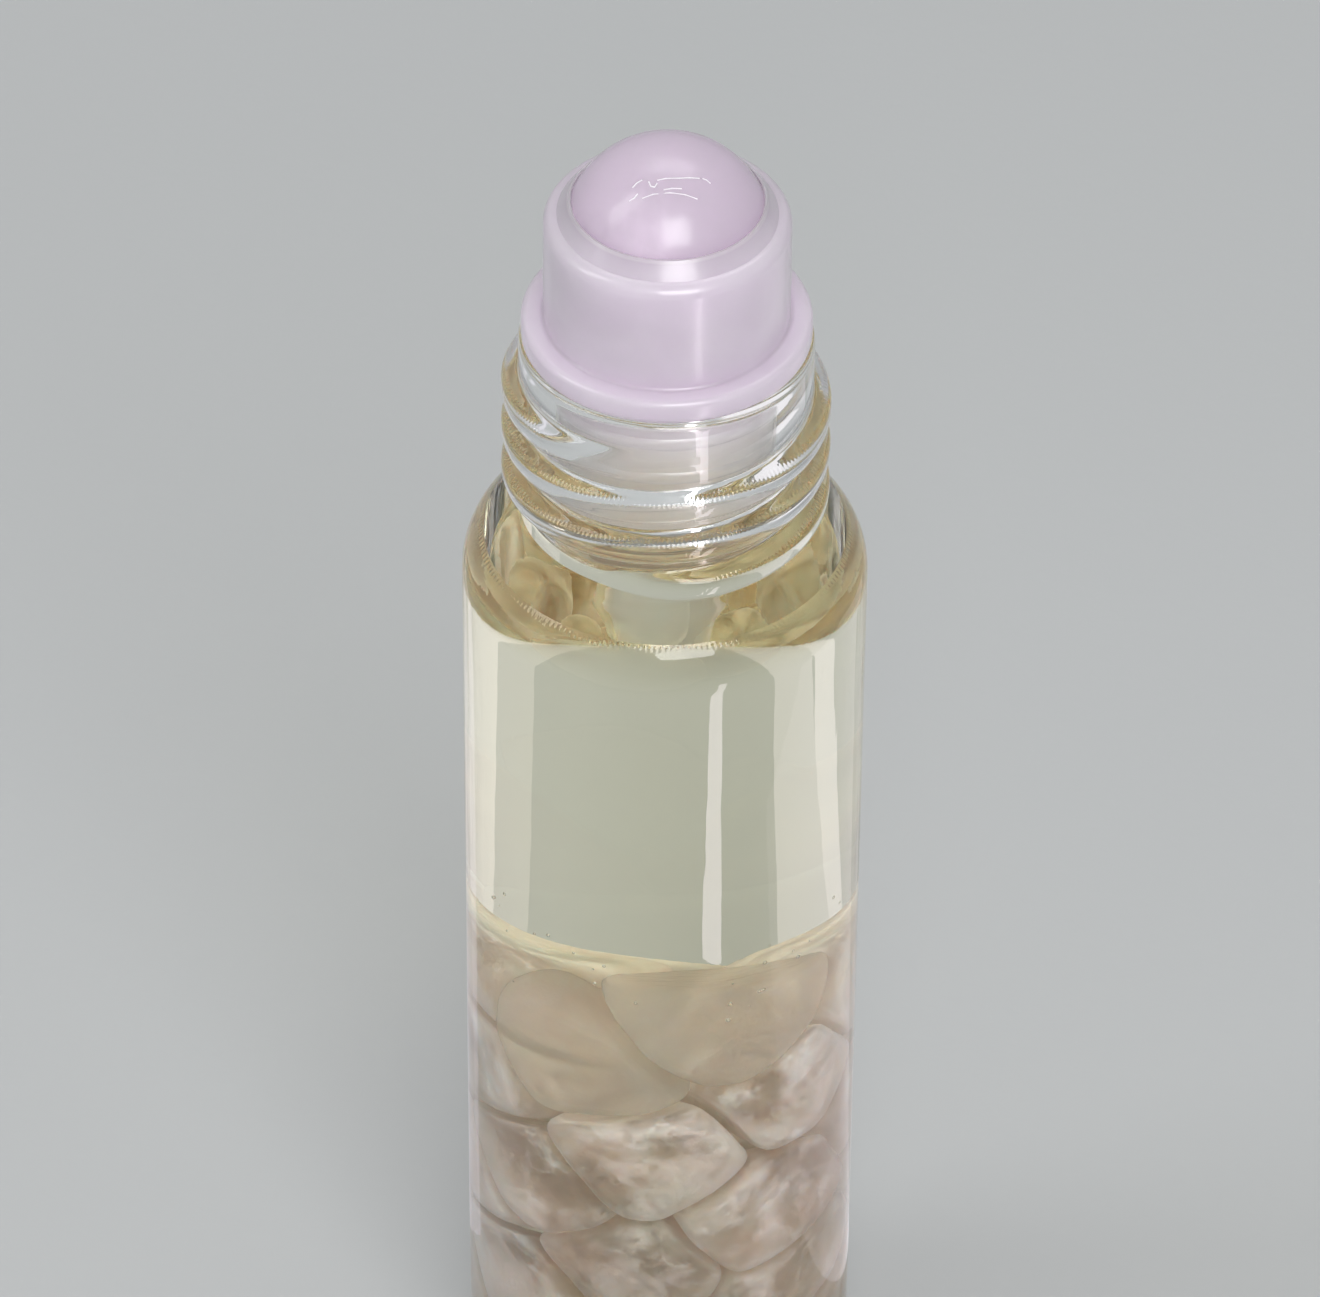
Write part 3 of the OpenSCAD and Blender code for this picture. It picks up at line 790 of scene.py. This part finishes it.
feed(tree, skin.inputs["Normal"], relief(tree, grain(tree, BALL_SKIN_GRAIN, 3.0), 0.006))
lets_lamps_through(tree, skin, (0.7, 0.63, 0.7), (0.4, 0.35, 0.4))
ball.data.materials.append(moulded)
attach(ball, "ball")
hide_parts("roller_ball")
print("The ball has", len(ball.data.polygons), "faces")

# %% [markdown]
# ## Painted glints on the ball
# In the middle of the ball sit a few short bright marks, dotted like chains of tiny beads. They are painted
# highlights: white beads that stand in for small glints seen in the ball. They are not marks on it. They
# follow a path, so they are drawn as a few given points, and Geometry Nodes lay a hair-thin bead along them,
# thinner at both ends and pinched at every dot, almost sunk in the ball. The points are given as they are
# seen from the camera, in millimetres from the middle of the ball, and then laid on its front.

# %% Painted glint tree
BEAD_STEPS, BEAD_SIDES, BEAD_TAPER, BEAD_PINCH = 120, 8, 0.4, 0.35
tree, given = new_tree("scuff_bead", ["Thickness", "Dots"], ["White"])
path = add(tree, "GeometryNodeMeshToCurve", Mesh=given["Geometry"])
path = add(tree, "GeometryNodeResampleCurve", Curve=path, Count=BEAD_STEPS)
along = add(tree, "GeometryNodeSplineParameter")
taper = calc(tree, "SINE", calc(tree, "MULTIPLY", along, math.pi))
dots = calc(tree, "COSINE", calc(tree, "MULTIPLY", along, calc(tree, "MULTIPLY", given["Dots"], 2 * math.pi)))
pinched = calc(tree, "ADD", 1.0 - BEAD_PINCH, calc(tree, "MULTIPLY", dots, BEAD_PINCH))
size = calc(tree, "MULTIPLY", calc(tree, "POWER", taper, BEAD_TAPER), pinched)
path = add(tree, "GeometryNodeSetCurveRadius", Curve=path, Radius=size)
ring = add(tree, "GeometryNodeCurvePrimitiveCircle", Resolution=BEAD_SIDES, Radius=given["Thickness"])
bead = add(tree, "GeometryNodeCurveToMesh", Curve=path, Profile_Curve=ring, Fill_Caps=True)
end_tree(tree, bead, given["White"])

# %% Painted glints
# Paths of the painted highlights on the ball, as seen from the camera.
PAINTED_GLINT_PATHS = [
    [(-0.5, 2.33), (-0.1, 2.42), (0.5, 2.44), (1.0, 2.47), (1.47, 2.45)],
    [(-1.2, 1.47), (-0.7, 1.66), (0.1, 1.74), (0.8, 1.66), (1.38, 1.46)],
    [(-0.2, 1.88), (0.2, 1.95), (0.65, 1.94)],
    [(-0.9, 2.28), (-0.8, 2.05), (-0.62, 2.0), (-0.5, 2.2)],
    [(-1.8, 1.35), (-1.55, 1.5), (-1.4, 1.7)],
    [(-1.65, 1.98), (-1.45, 2.2), (-1.2, 2.35)],
    [(1.6, 2.45), (1.8, 2.38), (1.98, 2.22)],
]
PAINTED_GLINT_THICK, PAINTED_GLINT_SINK, PAINTED_GLINT_DOTS, PAINTED_GLINT_GRAIN = 0.045, 0.034, 14.0, 3000
PITCH_DOWN = 41.2
tilt = math.radians(PITCH_DOWN)
right, up = Vector((1, 0, 0)), Vector((0, math.sin(tilt), math.cos(tilt)))
front = right.cross(up)
bm = bmesh.new()
for points in PAINTED_GLINT_PATHS:
    row = []
    for u, v in points:
        deep = math.sqrt((BALL_R - PAINTED_GLINT_SINK) ** 2 - u * u - v * v)
        row.append(bm.verts.new((Vector((0, 0, BALL_Z)) + right * u + up * v + front * deep) * MM))
    for start, end in zip(row, row[1:]):
        bm.edges.new((start, end))
painted_glints = piece_from(bm, "ball_scuffs")
# Painted highlight: these white beads stand in for glints seen in the ball and are not real scuffs.
white, skin_tree, skin = finish("scuffed_white", (0.88, 0.86, 0.89))
rough = grain(skin_tree, PAINTED_GLINT_GRAIN, 2.0)
feed(skin_tree, skin.inputs["Roughness"], spread(skin_tree, rough, 0.3, 0.7, 0.3, 0.5))
grow(painted_glints, tree, thickness=PAINTED_GLINT_THICK * MM, dots=PAINTED_GLINT_DOTS, white=white)
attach(painted_glints, "ball")

# %% [markdown]
# ## Floor, light and camera
# The bottle stands on a plain pale floor in soft studio light. The camera looks down on it from the front
# with a long lens, as the photograph does, close enough that the base lies below the picture.
#
# Clear glass shows what stands round it. The bright bands down both sides of a vial are things beside it,
# seen through the oil, which swaps left and right as a lens does, and the thin streak down the front is a
# mirror image of something on the floor before it. So besides the three softboxes some dim panels lie flat
# on the floor, hidden from the camera itself: two on each side behind the vial, and one bright strip in
# front.

# %% Floor
FLOOR_HALF, PAPER_GRAIN, PAPER_DEPTH = 3.0, 900, 0.05
bm = bmesh.new()
bmesh.ops.create_grid(bm, x_segments=1, y_segments=1, size=FLOOR_HALF)
floor = piece_from(bm, "floor")
paper, tree, skin = finish("pale_paper", (0.5, 0.51, 0.51), Roughness=0.7)
feed(tree, skin.inputs["Normal"], relief(tree, grain(tree, PAPER_GRAIN, 4.0), PAPER_DEPTH, 0.3))
floor.data.materials.append(paper)
print("The floor is", 2 * FLOOR_HALF, "m wide")

# %% Light
world = bpy.data.worlds.new("studio")
world.use_nodes = True
back = world.node_tree.nodes["Background"]
back.inputs["Color"].default_value = (0.82, 0.84, 0.86, 1)
back.inputs["Strength"].default_value = 0.5
bpy.context.scene.world = world


def softbox(name, at, aim, width, height, watts):
    light = bpy.data.lights.new(name, "AREA")
    light.shape = "RECTANGLE"
    light.size, light.size_y, light.energy = width, height, watts
    lamp = bpy.data.objects.new(name, light)
    lamp.location = at
    lamp.rotation_euler = (Vector(aim) - Vector(at)).to_track_quat("-Z", "Y").to_euler()
    bpy.context.scene.collection.objects.link(lamp)
    lamp.visible_camera = False
    print(name, "gives", round(watts, 4), "W")


middle = (0, 0, 0.06)
softbox("softbox_key", (0.1, -0.45, 0.48), middle, 0.32, 0.32, 2.3)
softbox("softbox_left", (-0.5, -0.1, 0.55), middle, 0.2, 0.5, 1.0)
softbox("softbox_top", (0.05, 0.35, 0.7), middle, 0.5, 0.3, 1.0)

# %% Floor panels
LONG, WARM, LILAC = 0.1, (1.0, 0.9, 0.97), (0.92, 0.84, 1.0)
RIGHT, LEFT, FRONT_TURN = 1, -1, 148.4


def panel(name, side, turn, near, wide, glow, tint=WARM):
    """A light panel flat on the floor. One long edge points at the vial, `turn` degrees from behind it."""
    edge = Vector((side * math.sin(math.radians(turn)), math.cos(math.radians(turn)), 0))
    out = Vector((side * math.cos(math.radians(turn)), -math.sin(math.radians(turn)), 0))
    at = edge * (near + LONG / 2) + out * wide / 2 + Vector((0, 0, 0.001))
    softbox(name, at, at + Vector((0, 0, 1)), wide, LONG, glow * math.pi * wide * LONG)
    lamp = bpy.data.objects[name]
    lamp.rotation_euler = (math.pi, 0, -side * math.radians(turn))
    lamp.data.color = tint


panel("panel_right", RIGHT, 46, 0.014, 0.06, 0.42)
panel("panel_right_dim", RIGHT, 30, 0.014, 0.016, 0.14)
panel("panel_left", LEFT, 24, 0.014, 0.013, 0.2, LILAC)
panel("panel_left_far", LEFT, 38, 0.016, 0.010, 0.34, LILAC)
panel("strip_front", RIGHT, FRONT_TURN, 0.05, 0.009, 5.0)

# %% Camera
WIDE, LENS_PX, SENSOR = 1320, 8600.0, 36.0
AWAY, ROLL, BOUNCES, CLEAR_BOUNCES = 0.4232, 0.45, 90, 120
aim = Vector((-0.2 * MM, 0, 51.5 * MM))
down = math.radians(PITCH_DOWN)
data = bpy.data.cameras.new("camera")
data.sensor_width = SENSOR
data.lens = LENS_PX * SENSOR / WIDE
data.clip_start, data.clip_end = 0.01, 10.0
camera = bpy.data.objects.new("camera", data)
camera.location = aim + AWAY * Vector((0, -math.cos(down), math.sin(down)))
camera.rotation_euler = (math.pi / 2 - down, 0, 0)
rolled = camera.rotation_euler.to_matrix() @ Matrix.Rotation(math.radians(ROLL), 3, "Z")
camera.rotation_euler = rolled.to_euler()
bpy.context.scene.collection.objects.link(camera)
bpy.context.scene.camera = camera
bpy.context.scene.view_settings.view_transform = "Standard"
cycles = bpy.context.scene.cycles
cycles.max_bounces = cycles.transmission_bounces = cycles.glossy_bounces = BOUNCES
cycles.transparent_max_bounces = CLEAR_BOUNCES
print("Light may bounce", BOUNCES, "times, because glass in oil in glass needs many")
